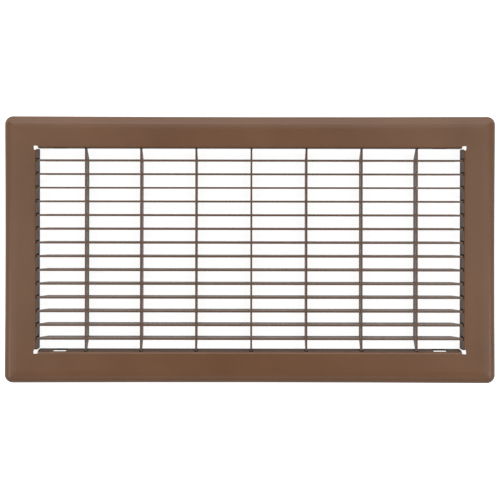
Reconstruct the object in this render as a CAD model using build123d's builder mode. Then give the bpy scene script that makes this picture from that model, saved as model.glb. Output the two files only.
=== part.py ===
from build123d import *
import os
from math import atan2, degrees, sqrt

# A pressed-steel floor return air grille: one folded sheet frame around an egg-crate core
# of long blades laid into notched cross bars. Nothing on it moves.
# Millimetres. +Z is up, X runs along the blades, and the origin is the middle of the
# floor opening at the level of the floor, on which the rim of the flange rests.

# Layout of the core, which sets the opening
blade_count = 14
blade_pitch = 12.7
blade_end_gap = 11.3  # from the middle of the last blade to the collar
cross_bar_count = 7
cross_bar_pitch = 51.0
cross_bar_end_gap = 44.35  # from the middle of the last cross bar to the collar, on average
cross_bar_shift = 1.3  # the punched row of cross bars sits this far to the right of the middle

# Frame sizes
flange_width = 28.85  # from the inside of the collar out to the rim, at the middle of a side
flange_height = 4.8  # the flat face above the floor
side_bow = 0.55  # the sides are drawn in this far between the corners
corner_radius = 7.4  # corners of the rim, in plan
corner_core = 0.4  # the rounded border turns each corner about a core of this radius
sheet = 1.0  # thickness of the frame's steel
bend_radius = 1.0  # inside radius where the flange turns down into the collar
collar_drop = 20.3  # from the flat face down to the collar's lower edge
flap_gap = 0.5  # each collar flap stops this far short of the inside corner
corner_relief = 1.9  # at the flat face the flaps are cut back this far from the inside corner
relief_depth = 15.0  # the cut narrows over this depth

# Core sizes, shared by the blades and the cross bars
bar_thickness = 1.7
bar_height = 16.2
bar_recess = 3.3  # top edges of the core below the flat face
notch_clearance = 0.15  # on each side of a bar in a half-lap notch
tab_height = 4.5  # what is left of a bar's height where it goes through the collar
tab_reach = 1.5  # how far a tab stands out of the collar
tab_shoulder = 0.4  # the slanted end starts this far inside the collar
taper_rounding = 3.0  # lower corner of the slanted end

# Blades, which run along X
blade_taper = 8.0  # length of the slanted end
blade_slot_drop = 9.0  # the slot runs this far below the tab
hook_clearance = 0.1  # from the outside of the collar, and from the slot's height, to a blade's hook
blade_slot_tight = 0.1  # clearance of the blade to the slot's near side
blade_slot_loose = 0.4  # clearance of the blade to the slot's far side

# Cross bars, which run along Y and carry the blades
cross_bar_taper = 10.0
cross_bar_slot_side = 0.8  # clearance on each side of a cross bar's tab in its slot
tab_top_clearance = 0.3  # slot above the tab

# Clip windows in the long sides of the collar, near its ends
window_length = 12.8
window_height = 12.3
window_inset = 20.75  # from the inside of the collar's end to the middle of the window
window_drop = 3.2  # from the flat face down to the window's upper edge

# Places worked out from the sizes
opening_length = (cross_bar_count - 1) * cross_bar_pitch + 2 * cross_bar_end_gap
opening_width = (blade_count - 1) * blade_pitch + 2 * blade_end_gap
rim_width = corner_radius - corner_core
rim_land = corner_core / 2  # the border runs on this far into the flat face
plate_inset = rim_width + rim_land / 2  # the flat face begins within that land
outer_bend = bend_radius + sheet
collar_bottom = flange_height - collar_drop
cut_reach = 2 * sheet  # cuts in the collar run out this far from its inside
bar_top = flange_height - bar_recess
bar_bottom = bar_top - bar_height
tab_bottom = bar_top - tab_height
notch_width = bar_thickness + 2 * notch_clearance
hook_width = tab_reach - hook_clearance
hook_drop = blade_slot_drop - hook_clearance


def even_row(count, pitch, middle):
    """Evenly spaced places on both sides of a middle."""
    return [middle + (index - (count - 1) / 2) * pitch for index in range(count)]


blade_places = even_row(blade_count, blade_pitch, 0)
cross_bar_places = even_row(cross_bar_count, cross_bar_pitch, cross_bar_shift)


def side_plane(turn, distance):
    """Upright plane across one side of the frame: local X points outwards and local Y up."""
    outward = Vector(1, 0, 0).rotate(Axis.Z, turn)
    return Plane(origin=outward * distance, x_dir=outward, z_dir=outward.rotate(Axis.Z, -90))


def rim_section(plane):
    """Section of the rounded border, from its foot on the floor to the flat face.

    The plane's origin is at the outer edge. The border is an arc that meets the flat face smoothly,
    and a short land runs on under the flat face.
    """
    rim_radius = (rim_width**2 + flange_height**2) / (2 * flange_height)
    under_radius = rim_radius - sheet
    centre_drop = rim_radius - flange_height
    foot_width = rim_width - sqrt(under_radius**2 - centre_drop**2)
    underside = flange_height - sheet
    land_end = rim_width + rim_land
    with BuildSketch(plane) as section:
        with BuildLine():
            TangentArc((-rim_width, flange_height), (0, 0), tangent=(1, 0))
            Line((0, 0), (-foot_width, 0))
            TangentArc((-rim_width, underside), (-foot_width, 0), tangent=(1, 0))
            Polyline(
                (-rim_width, underside),
                (-land_end, underside),
                (-land_end, flange_height),
                (-rim_width, flange_height),
            )
        make_face()
    return section.sketch


def flap_section(plane):
    """Section of one collar flap with its bend. The plane's origin is on the inside of the collar."""
    bend_start = flange_height - outer_bend
    with BuildSketch(plane) as section:
        with BuildLine():
            Line((0, collar_bottom), (0, bend_start))
            TangentArc((0, bend_start), (outer_bend, flange_height), tangent=(0, 1))
            Line((outer_bend, flange_height), (outer_bend, flange_height - sheet))
            TangentArc((outer_bend, flange_height - sheet), (sheet, bend_start), tangent=(-1, 0))
            Polyline((sheet, bend_start), (sheet, collar_bottom), (0, collar_bottom))
        make_face()
    return section.sketch


# Outline of the rim in plan
side_x = opening_length / 2 + flange_width
side_y = opening_width / 2 + flange_width
corner_x = side_x + side_bow
corner_y = side_y + side_bow
with BuildSketch() as outline:
    with BuildLine():
        ThreePointArc((-corner_x, -corner_y), (0, -side_y), (corner_x, -corner_y))
        ThreePointArc((corner_x, -corner_y), (side_x, 0), (corner_x, corner_y))
        ThreePointArc((corner_x, corner_y), (0, side_y), (-corner_x, corner_y))
        ThreePointArc((-corner_x, corner_y), (-side_x, 0), (-corner_x, -corner_y))
    make_face()
    fillet(outline.vertices(), corner_radius)
rim_path = outline.face().outer_wire()
rim_start = Plane(origin=rim_path @ 0, x_dir=(rim_path % 0).cross(Vector(0, 0, 1)), z_dir=-(rim_path % 0))

# Frame: rounded border, flat face and four folded collar flaps, all one sheet
with BuildPart() as frame:
    sweep(rim_section(rim_start), path=rim_path)
    with BuildSketch(Plane.XY.offset(flange_height - sheet)):
        add(outline.sketch)
        offset(amount=-plate_inset, mode=Mode.REPLACE)
        Rectangle(opening_length + 2 * outer_bend, opening_width + 2 * outer_bend, mode=Mode.SUBTRACT)
    extrude(amount=sheet)
    for turn, opening, across in (
        (0, opening_length, opening_width),
        (90, opening_width, opening_length),
        (180, opening_length, opening_width),
        (270, opening_width, opening_length),
    ):
        flap = flap_section(side_plane(turn, opening / 2))
        extrude(flap, amount=across / 2 - flap_gap, both=True)

    # Corner reliefs, which narrow downwards between the ends of the flaps
    relief_taper = degrees(atan2(corner_relief - flap_gap / 2, relief_depth))
    with BuildSketch(Plane.XY.offset(flange_height)):
        with GridLocations(opening_length, opening_width, 2, 2):
            Rectangle(2 * corner_relief, 2 * corner_relief)
    extrude(amount=-relief_depth, taper=relief_taper, mode=Mode.SUBTRACT)

    # Slots for the blades in the short flaps, taller than the tabs and wider than the blades on one side
    slot_width = bar_thickness + blade_slot_tight + blade_slot_loose
    slot_shift = (blade_slot_loose - blade_slot_tight) / 2
    slot_top = bar_top + tab_top_clearance
    with Locations(*[(0, place + slot_shift, slot_top) for place in blade_places]):
        Box(
            opening_length + 2 * cut_reach,
            slot_width,
            slot_top - tab_bottom + blade_slot_drop,
            align=(Align.CENTER, Align.CENTER, Align.MAX),
            mode=Mode.SUBTRACT,
        )

    # Slots for the cross bars in the long flaps: their tabs stand on the slots' lower edges
    with Locations(*[(place, 0, slot_top) for place in cross_bar_places]):
        Box(
            bar_thickness + 2 * cross_bar_slot_side,
            opening_width + 2 * cut_reach,
            slot_top - tab_bottom,
            align=(Align.CENTER, Align.CENTER, Align.MAX),
            mode=Mode.SUBTRACT,
        )

    # Clip windows
    window_place = opening_length / 2 - window_inset
    with Locations(*[(x, 0, flange_height - window_drop) for x in (-window_place, window_place)]):
        Box(
            window_length,
            opening_width + 2 * cut_reach,
            window_height,
            align=(Align.CENTER, Align.CENTER, Align.MAX),
            mode=Mode.SUBTRACT,
        )


def bar_face(plane, opening, taper, notches, notch_edge, notch_align):
    """Side view of a bar: tabs at both ends, slanted lower corners, and half-lap notches."""
    tip = opening / 2 + sheet + tab_reach
    shoulder = opening / 2 - tab_shoulder
    half = [(tip, bar_top), (tip, tab_bottom), (shoulder, tab_bottom), (shoulder - taper, bar_bottom)]
    other_half = [(-along, height) for along, height in reversed(half)]
    with BuildSketch(plane) as side_view:
        with BuildLine():
            Polyline(*half, *other_half, close=True)
        make_face()
        fillet(side_view.vertices().group_by(Axis.Y)[0], taper_rounding)
        with Locations(*[(place, notch_edge) for place in notches]):
            Rectangle(notch_width, bar_height / 2, align=(Align.CENTER, notch_align), mode=Mode.SUBTRACT)
    return side_view.sketch


os.makedirs("parts", exist_ok=True)
frame.part.label = "frame"
export_step(frame.part, "parts/frame.step")

# Blades, notched from below, with a hook behind the collar at each end
hook_place = opening_length / 2 + sheet + hook_clearance + hook_width / 2
for number, place in enumerate(reversed(blade_places), start=1):
    plane = Plane.XZ.offset(-place)
    with BuildPart() as blade:
        face = bar_face(plane, opening_length, blade_taper, cross_bar_places, bar_bottom, Align.MIN)
        extrude(face, amount=bar_thickness / 2, both=True)
        with Locations(*[(x, place, tab_bottom) for x in (-hook_place, hook_place)]):
            Box(hook_width, bar_thickness, hook_drop, align=(Align.CENTER, Align.CENTER, Align.MAX))
    blade.part.label = f"blade_{number:02d}"
    export_step(blade.part, f"parts/blade_{number:02d}.step")

# Cross bars, notched from above
for number, place in enumerate(cross_bar_places, start=1):
    plane = Plane.YZ.offset(place)
    with BuildPart() as cross_bar:
        face = bar_face(plane, opening_width, cross_bar_taper, blade_places, bar_top, Align.MAX)
        extrude(face, amount=bar_thickness / 2, both=True)
    cross_bar.part.label = f"cross_bar_{number}"
    export_step(cross_bar.part, f"parts/cross_bar_{number}.step")
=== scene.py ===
"""Brown enamelled floor return air grille, seen from straight above on a white floor."""

import math
from functools import reduce

import bpy
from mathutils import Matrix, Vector


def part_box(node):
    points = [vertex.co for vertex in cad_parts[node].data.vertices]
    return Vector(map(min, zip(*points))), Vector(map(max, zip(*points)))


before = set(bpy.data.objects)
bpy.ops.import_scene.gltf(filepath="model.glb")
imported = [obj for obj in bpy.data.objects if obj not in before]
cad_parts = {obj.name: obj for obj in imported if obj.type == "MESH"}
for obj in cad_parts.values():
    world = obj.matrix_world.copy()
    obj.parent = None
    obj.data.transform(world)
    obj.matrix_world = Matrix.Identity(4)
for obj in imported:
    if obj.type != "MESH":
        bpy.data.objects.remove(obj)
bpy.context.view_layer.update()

# Places and sizes of the grille, in metres
MM = 0.001
FLOOR_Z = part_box("frame")[0].z
FRAME_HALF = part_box("frame")[1]
SHEET = 1.0 * MM
TAB_LENGTH = 2.5 * MM  # from the inside of the collar to the tip of a tab
OPENING_HALF_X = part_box("blade_01")[1].x - TAB_LENGTH
OPENING_HALF_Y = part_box("cross_bar_1")[1].y - TAB_LENGTH
BLADE_PLACES = [(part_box(f"blade_{n:02d}")[0].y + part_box(f"blade_{n:02d}")[1].y) / 2 for n in (1, 2)]
BLADE_PITCH = BLADE_PLACES[0] - BLADE_PLACES[1]
BAR_PLACES = [(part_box(f"cross_bar_{n}")[0].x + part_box(f"cross_bar_{n}")[1].x) / 2 for n in (1, 2)]
BAR_PITCH = BAR_PLACES[1] - BAR_PLACES[0]
WINDOW_INSET = 20.75 * MM  # from the inside of the collar's end to the middle of a clip window

# Fall of the frame's face beside its border, between two distances from the outer edge
CROWN_START = 4.0 * MM
CROWN_END = 12.0 * MM
CROWN_HEIGHT = 0.5 * MM

# Pattern of the enamel
FLECK_SHARE = 0.3  # of the fine noise, added to the clouds
TONE_RANGE = (0.42, 0.88)  # noise at which the tone is darkest and lightest
GLOSS_SPREAD = 0.05  # roughness more and less than the mean
PEEL_STRENGTH = 0.12
PEEL_DEPTH = 0.4 * MM

# Painted shade: black around the slots of the collar and on the tabs in them, which lie in shadow
BLADE_SLOT_SHIFT = 0.6 * MM  # from the middle of a blade, to its far side
BLADE_SLOT_HALF = 1.65 * MM
BAR_SLOT_HALF = 1.65 * MM
SLOT_MIDDLE = -4.2 * MM  # height of the middle of the black
SLOT_HALF_HEIGHT = 7.8 * MM
TAB_START = 0.5 * MM  # inwards from the inside of the collar

# Painted shade: black on the sill strips, the strips of collar below the clip windows, which lie in
# shadow
SILL_PLACE = OPENING_HALF_X - WINDOW_INSET
SILL_HALF_LENGTH = 6.4 * MM
SILL_TOP = -10.6 * MM

# Shade on the near wall of the collar
WALL_TOP = 4.3 * MM
WALL_SHADE = 0.22  # share of black in the enamel

# Floor, with a painted shadow: a strip that doesn't glow along the foot of each end wall, on its outside
FLOOR_SIZE = 12.0
FLOOR_COLOUR = (0.5, 0.5, 0.5, 1.0)
FLOOR_GLOW = 0.9
FLOOR_MIRRORED = 0.28  # share of the glow in reflections
STRIP_HALF_WIDTH = 1.4 * MM
STRIP_PLACE = OPENING_HALF_X + SHEET + STRIP_HALF_WIDTH
STRIP_END_GAP = 5.0 * MM  # to the inside of the long walls
STRIP_END = OPENING_HALF_Y - STRIP_END_GAP

# Camera, in the photograph's pixels where the name says so
PICTURE_PX = 500
NADIR_PX = (246.0, 188.0)  # the point straight below the camera
FOCAL_PX = 1026.5
CAMERA_PLACE = (-3.7 * MM, 57.1 * MM, 949.8 * MM)
CAMERA_ROLL = math.radians(0.08)
SENSOR_WIDTH = 36.0

# First input, second input and output of a mix node, for each kind of value
MIX_SOCKETS = {"FLOAT": (2, 3, 0), "RGBA": (6, 7, 2)}


def linear(*srgb):
    """Linear colour of an sRGB triple written from 0 to 255."""
    out = []
    for value in srgb:
        c = value / 255
        out.append(c / 12.92 if c <= 0.04045 else ((c + 0.055) / 1.055) ** 2.4)
    return (*out, 1.0)


WHITE = linear(255, 255, 255)
# Painted shade: the dull black and its roughness that the masks below mix into the enamel where shade
# falls
SHADE_BLACK = linear(38, 25, 19)
SHADE_ROUGHNESS = 0.9


class Graph:
    """The nodes of a material or of the world, with short ways to add and fill them."""

    def __init__(self, owner):
        owner.use_nodes = True
        self.nodes = owner.node_tree.nodes
        self.links = owner.node_tree.links

    def put(self, value, socket):
        """Link an input to an output, or set it to a plain value."""
        if isinstance(value, bpy.types.NodeSocket):
            self.links.new(value, socket)
        else:
            socket.default_value = value

    def add(self, kind, **values):
        """A new node with its properties and inputs filled in."""
        node = self.nodes.new(kind)
        for key, value in values.items():
            if hasattr(node, key):
                setattr(node, key, value)
            else:
                self.put(value, node.inputs[key.replace("_", " ")])
        return node

    def coordinates(self, kind):
        """X, Y and Z of a texture coordinate."""
        where = self.add("ShaderNodeTexCoord")
        return self.add("ShaderNodeSeparateXYZ", Vector=where.outputs[kind]).outputs

    def noise(self, place, scale, detail, roughness):
        """Level of a noise texture."""
        node = self.add(
            "ShaderNodeTexNoise",
            Vector=place,
            Scale=scale,
            Detail=detail,
            Roughness=roughness,
        )
        return node.outputs["Fac"]

    def compute(self, operation, *operands):
        """Result of a math node."""
        node = self.add("ShaderNodeMath", operation=operation)
        for operand, socket in zip(operands, node.inputs):
            self.put(operand, socket)
        return node.outputs[0]

    def all_of(self, *masks):
        """1 where every mask is 1, and 0 where one is 0."""
        return reduce(lambda mask, other: self.compute("MULTIPLY", mask, other), masks)

    def any_of(self, *masks):
        """The strongest of the masks."""
        return reduce(lambda mask, other: self.compute("MAXIMUM", mask, other), masks)

    def ramp(self, value, start, end, before, after):
        """A level that passes smoothly from before to after, while the value goes from start to end."""
        node = self.add(
            "ShaderNodeMapRange",
            interpolation_type="SMOOTHSTEP",
            Value=value,
            From_Min=start,
            From_Max=end,
            To_Min=before,
            To_Max=after,
        )
        return node.outputs["Result"]

    def mix(self, kind, share, first, second):
        """Two numbers or colours mixed, the second by its share."""
        first_input, second_input, output = MIX_SOCKETS[kind]
        node = self.add("ShaderNodeMix", data_type=kind, Factor=share)
        self.put(first, node.inputs[first_input])
        self.put(second, node.inputs[second_input])
        return node.outputs[output]


def crown_normal(graph, half_sizes):
    """Normal of a plate that falls away a little towards its outer edge."""
    insets = []
    for place, half_size in zip(graph.coordinates("Object"), half_sizes):
        insets.append(graph.compute("SUBTRACT", half_size, graph.compute("ABSOLUTE", place)))
    rise = graph.ramp(graph.compute("MINIMUM", *insets), CROWN_START, CROWN_END, before=0.0, after=1.0)
    bump = graph.add("ShaderNodeBump", Strength=1.0, Distance=CROWN_HEIGHT, Height=rise)
    return bump.outputs["Normal"]


def enamel(name, dark, light, roughness, ior, crown=None):
    """Baked semi-gloss enamel: cloudy tone, fine orange peel, and a roughness that varies a little.

    A crown gives the half length and half width of a plate whose face falls away beside its border.
    """
    material = bpy.data.materials.new(name)
    graph = Graph(material)
    shader = graph.nodes["Principled BSDF"]
    shader.inputs["Metallic"].default_value = 0.0
    shader.inputs["IOR"].default_value = ior
    place = graph.add("ShaderNodeTexCoord").outputs["Object"]

    cloud = graph.noise(place, scale=14.0, detail=4.0, roughness=0.55)
    fleck = graph.noise(place, scale=900.0, detail=2.0, roughness=0.5)
    tone = graph.add("ShaderNodeValToRGB", Fac=graph.compute("MULTIPLY_ADD", fleck, FLECK_SHARE, cloud))
    for element, position, colour in zip(tone.color_ramp.elements, TONE_RANGE, (dark, light)):
        element.position = position
        element.color = colour
    graph.put(tone.outputs["Color"], shader.inputs["Base Color"])

    gloss = graph.add(
        "ShaderNodeMapRange",
        Value=cloud,
        To_Min=roughness - GLOSS_SPREAD,
        To_Max=roughness + GLOSS_SPREAD,
    )
    graph.put(gloss.outputs["Result"], shader.inputs["Roughness"])

    peel = graph.noise(place, scale=650.0, detail=3.0, roughness=0.6)
    bump = graph.add("ShaderNodeBump", Strength=PEEL_STRENGTH, Distance=PEEL_DEPTH, Height=peel)
    if crown:
        graph.put(crown_normal(graph, crown), bump.inputs["Normal"])
    graph.put(bump.outputs["Normal"], shader.inputs["Normal"])
    return material


def blacken(material, mask):
    """Painted shade: dull black instead of enamel, as far as the mask says."""
    graph = Graph(material)
    inputs = graph.nodes["Principled BSDF"].inputs
    for name, kind, dull in (("Base Color", "RGBA", SHADE_BLACK), ("Roughness", "FLOAT", SHADE_ROUGHNESS)):
        enamelled = inputs[name].links[0].from_socket
        graph.put(graph.mix(kind, mask, enamelled, dull), inputs[name])


def near_row(graph, place, first, pitch, half_width):
    """1 within half a width of an endless row of places, else 0."""
    steps = graph.compute("DIVIDE", graph.compute("SUBTRACT", place, first), pitch)
    off_step = graph.compute("PINGPONG", steps, 0.5)  # distance to the nearest whole step
    return graph.compute("LESS_THAN", off_step, half_width / pitch)


def blacken_collar(material):
    """Painted shade: black around the collar's slots and on its sill strips, and a darker near wall."""
    graph = Graph(material)
    x, y, height = graph.coordinates("Object")
    reach_x = graph.compute("ABSOLUTE", x)
    reach_y = graph.compute("ABSOLUTE", y)

    # painted shade in the slots, where the collar shades them
    slot_height = graph.compute("COMPARE", height, SLOT_MIDDLE, SLOT_HALF_HEIGHT)
    end_wall = graph.all_of(
        graph.compute("COMPARE", reach_x, OPENING_HALF_X, SHEET),
        graph.compute("LESS_THAN", reach_y, OPENING_HALF_Y),
    )
    blade_row = near_row(graph, y, BLADE_PLACES[0] + BLADE_SLOT_SHIFT, BLADE_PITCH, BLADE_SLOT_HALF)
    blade_slot_shade = graph.all_of(end_wall, blade_row, slot_height)
    long_wall = graph.all_of(
        graph.compute("COMPARE", reach_y, OPENING_HALF_Y, SHEET),
        graph.compute("LESS_THAN", reach_x, OPENING_HALF_X),
    )
    bar_row = near_row(graph, x, BAR_PLACES[0], BAR_PITCH, BAR_SLOT_HALF)
    bar_slot_shade = graph.all_of(long_wall, bar_row, slot_height)

    # painted shade on the sill strips below the clip windows
    sill_shade = graph.all_of(
        graph.compute("COMPARE", reach_x, SILL_PLACE, SILL_HALF_LENGTH),
        graph.compute("LESS_THAN", height, SILL_TOP),
    )
    near_wall = graph.all_of(
        long_wall,
        graph.compute("LESS_THAN", y, 0.0),
        graph.compute("LESS_THAN", height, WALL_TOP),
    )
    shade = graph.compute("MULTIPLY", near_wall, WALL_SHADE)
    blacken(material, graph.any_of(blade_slot_shade, bar_slot_shade, sill_shade, shade))


def blacken_tabs(material):
    """Painted shade: black on the tabs that go through the collar, where they lie in its shadow."""
    graph = Graph(material)
    x, y, _ = graph.coordinates("Object")
    blade_tab_shade = graph.compute("GREATER_THAN", graph.compute("ABSOLUTE", x), OPENING_HALF_X - TAB_START)
    bar_tab_shade = graph.compute("GREATER_THAN", graph.compute("ABSOLUTE", y), OPENING_HALF_Y - TAB_START)
    blacken(material, graph.any_of(blade_tab_shade, bar_tab_shade))


# Enamel of the frame
frame_enamel = enamel(
    "frame_enamel",
    dark=linear(102, 70, 47),
    light=linear(112, 78, 53),
    roughness=0.35,
    ior=1.5,
    crown=FRAME_HALF.xy,
)
# painted shade on the collar: around its slots, on its sill strips and on its near wall
blacken_collar(frame_enamel)

# Enamel of the blades and cross bars
core_enamel = enamel(
    "core_enamel",
    dark=linear(92, 70, 57),
    light=linear(102, 78, 64),
    roughness=0.27,
    ior=1.52,
)
# painted shade on the ends of the tabs, in the collar's shadow
blacken_tabs(core_enamel)
core_shader = core_enamel.node_tree.nodes["Principled BSDF"]
core_shader.inputs["Sheen Weight"].default_value = 0.4
core_shader.inputs["Sheen Roughness"].default_value = 0.5
core_shader.inputs["Sheen Tint"].default_value = (1.0, 0.8, 0.7, 1.0)

for name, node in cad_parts.items():
    node.data.materials.clear()
    node.data.materials.append(frame_enamel if name == "frame" else core_enamel)


def glowing_paint(name):
    """Matt paint that glows for the camera, and less in reflections, but not in a strip along each end
    wall, which is a painted shadow.
    """
    material = bpy.data.materials.new(name)
    graph = Graph(material)
    graph.nodes.remove(graph.nodes["Principled BSDF"])
    path = graph.add("ShaderNodeLightPath").outputs
    mirrored = graph.any_of(path["Is Glossy Ray"], path["Is Transmission Ray"])
    seen = graph.compute("MULTIPLY_ADD", mirrored, FLOOR_MIRRORED, path["Is Camera Ray"])

    x, y, _ = graph.coordinates("Object")
    # painted shadow: no glow in a strip along the foot of each end wall
    painted_shadow_strips = graph.all_of(
        graph.compute("COMPARE", graph.compute("ABSOLUTE", x), STRIP_PLACE, STRIP_HALF_WIDTH),
        graph.compute("LESS_THAN", graph.compute("ABSOLUTE", y), STRIP_END),
    )
    glow_share = graph.compute("MULTIPLY", seen, graph.compute("SUBTRACT", 1.0, painted_shadow_strips))

    matt = graph.add("ShaderNodeBsdfDiffuse", Color=FLOOR_COLOUR).outputs[0]
    glow = graph.add("ShaderNodeEmission", Strength=FLOOR_GLOW).outputs[0]
    both = graph.add("ShaderNodeAddShader")
    graph.put(matt, both.inputs[0])
    graph.put(glow, both.inputs[1])
    choice = graph.add("ShaderNodeMixShader", Fac=glow_share)
    graph.put(matt, choice.inputs[1])
    graph.put(both.outputs[0], choice.inputs[2])
    graph.put(choice.outputs[0], graph.nodes["Material Output"].inputs["Surface"])
    return material


# Floor
bpy.ops.mesh.primitive_plane_add(size=FLOOR_SIZE, location=(0, 0, FLOOR_Z))
floor = bpy.context.object
floor.name = "floor"
floor.data.materials.append(glowing_paint("floor_paint"))

# Light of the room: dim overhead, brighter low down all round and brightest on the far side
world = bpy.data.worlds.new("room")
bpy.context.scene.world = world
room = Graph(world)
_, far, up = room.coordinates("Generated")
ceiling = room.ramp(up, start=0.88, end=0.995, before=0.12, after=0.03)
ring = room.ramp(up, start=0.2, end=0.75, before=0.4, after=0.0)
far_wall = room.ramp(far, start=0.3, end=0.6, before=0.0, after=1.25)
brightness = room.compute("ADD", ceiling, room.compute("ADD", ring, far_wall))
background = room.nodes["Background"]
background.inputs["Color"].default_value = WHITE
for_camera = room.add("ShaderNodeLightPath").outputs["Is Camera Ray"]  # so that it sees white
room.put(room.any_of(for_camera, brightness), background.inputs["Strength"])


def lamp(name, place, width, depth, power):
    """Oblong area lamp aimed at the middle of the grille."""
    data = bpy.data.lights.new(name, "AREA")
    data.shape = "RECTANGLE"
    data.size = width
    data.size_y = depth
    data.energy = power
    lamp_object = bpy.data.objects.new(name, data)
    lamp_object.location = place
    lamp_object.rotation_euler = (-Vector(place)).to_track_quat("-Z", "Y").to_euler()
    bpy.context.scene.collection.objects.link(lamp_object)


# Lamps: a long one over the far side, a weaker one over the near side, and two at each end
lamp("far_lamp", place=(0.05, 0.62, 1.12), width=1.9, depth=0.3, power=4.8)
lamp("near_lamp", place=(0.0, -0.9, 0.9), width=1.2, depth=0.4, power=1.6)
for side in (-1, 1):
    lamp("panel", place=(side * 0.64, -0.08, 1.25), width=0.5, depth=0.5, power=1.5)
    lamp("side_lamp", place=(side * 1.1, -0.45, 0.9), width=0.9, depth=0.3, power=3.4)

# Camera: straight down from over a point behind the middle, with the picture shifted to frame the grille
camera_data = bpy.data.cameras.new("camera")
camera_data.sensor_width = SENSOR_WIDTH
camera_data.lens = FOCAL_PX / PICTURE_PX * SENSOR_WIDTH
camera_data.shift_x = (PICTURE_PX / 2 - NADIR_PX[0]) / PICTURE_PX
camera_data.shift_y = (NADIR_PX[1] - PICTURE_PX / 2) / PICTURE_PX
camera_data.clip_start = 0.01
camera_data.clip_end = 50.0
camera = bpy.data.objects.new("camera", camera_data)
camera.location = CAMERA_PLACE
camera.rotation_euler = (0.0, 0.0, CAMERA_ROLL)
bpy.context.scene.collection.objects.link(camera)
bpy.context.scene.camera = camera

bpy.context.scene.view_settings.view_transform = "Standard"
